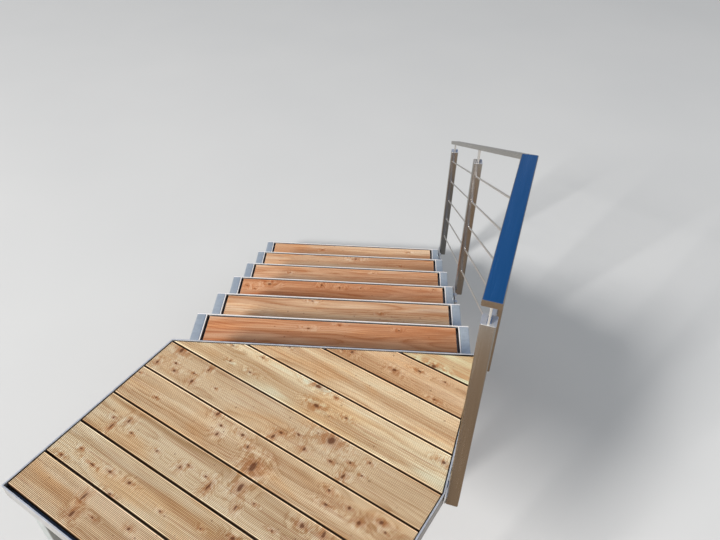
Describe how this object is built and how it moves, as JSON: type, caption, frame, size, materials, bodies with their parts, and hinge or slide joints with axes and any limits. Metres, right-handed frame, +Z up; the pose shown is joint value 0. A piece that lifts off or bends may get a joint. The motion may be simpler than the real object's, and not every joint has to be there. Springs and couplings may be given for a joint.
{
  "type": "outdoor deck stairs with an angled landing",
  "caption": "Straight flight of six timber treads in stepped galvanised stringers below an angled timber landing, with a stainless railing on the right.",
  "frame": {"origin": "centre of the whole outline in plan, at ground level under the foot plates", "axes": "+Y runs down the flight away from the house, +X to the right of someone walking down, +Z up"},
  "size_m": [1.6396, 3.2036, 2.139],
  "materials": {
    "galvanised": "matte",
    "stainless": "satin",
    "tread_timber": "matte",
    "deck_timber": "matte"
  },
  "bodies": {
    "root": {"left_stringer": "galvanised", "right_stringer": "galvanised", "tread_frame_1": "galvanised", "tread_frame_2": "galvanised", "tread_frame_3": "galvanised", "tread_frame_4": "galvanised", "tread_frame_5": "galvanised", "tread_frame_6": "galvanised", "tread_boards_1": "tread_timber", "tread_boards_2": "tread_timber", "tread_boards_3": "tread_timber", "tread_boards_4": "tread_timber", "tread_boards_5": "tread_timber", "tread_boards_6": "tread_timber", "house_edge": "galvanised", "side_edge": "galvanised", "railing_edge": "galvanised", "front_edge": "galvanised", "left_edge": "galvanised", "joist_1": "galvanised", "joist_2": "galvanised", "joist_3": "galvanised", "deck_board_1": "deck_timber", "deck_board_2": "deck_timber", "deck_board_3": "deck_timber", "deck_board_4": "deck_timber", "deck_board_5": "deck_timber", "deck_board_6": "deck_timber", "deck_board_7": "deck_timber", "deck_board_8": "deck_timber", "deck_board_9": "deck_timber", "leg_front_left": "galvanised", "leg_front_right": "galvanised", "leg_house_left": "galvanised", "leg_house_right": "galvanised", "post_upper": "stainless", "post_corner": "stainless", "post_middle": "stainless", "post_lower": "stainless", "handrail_level": "stainless", "handrail_sloped": "stainless", "rods_level": "stainless", "rods_sloped": "stainless"}
  },
  "joints": []
}
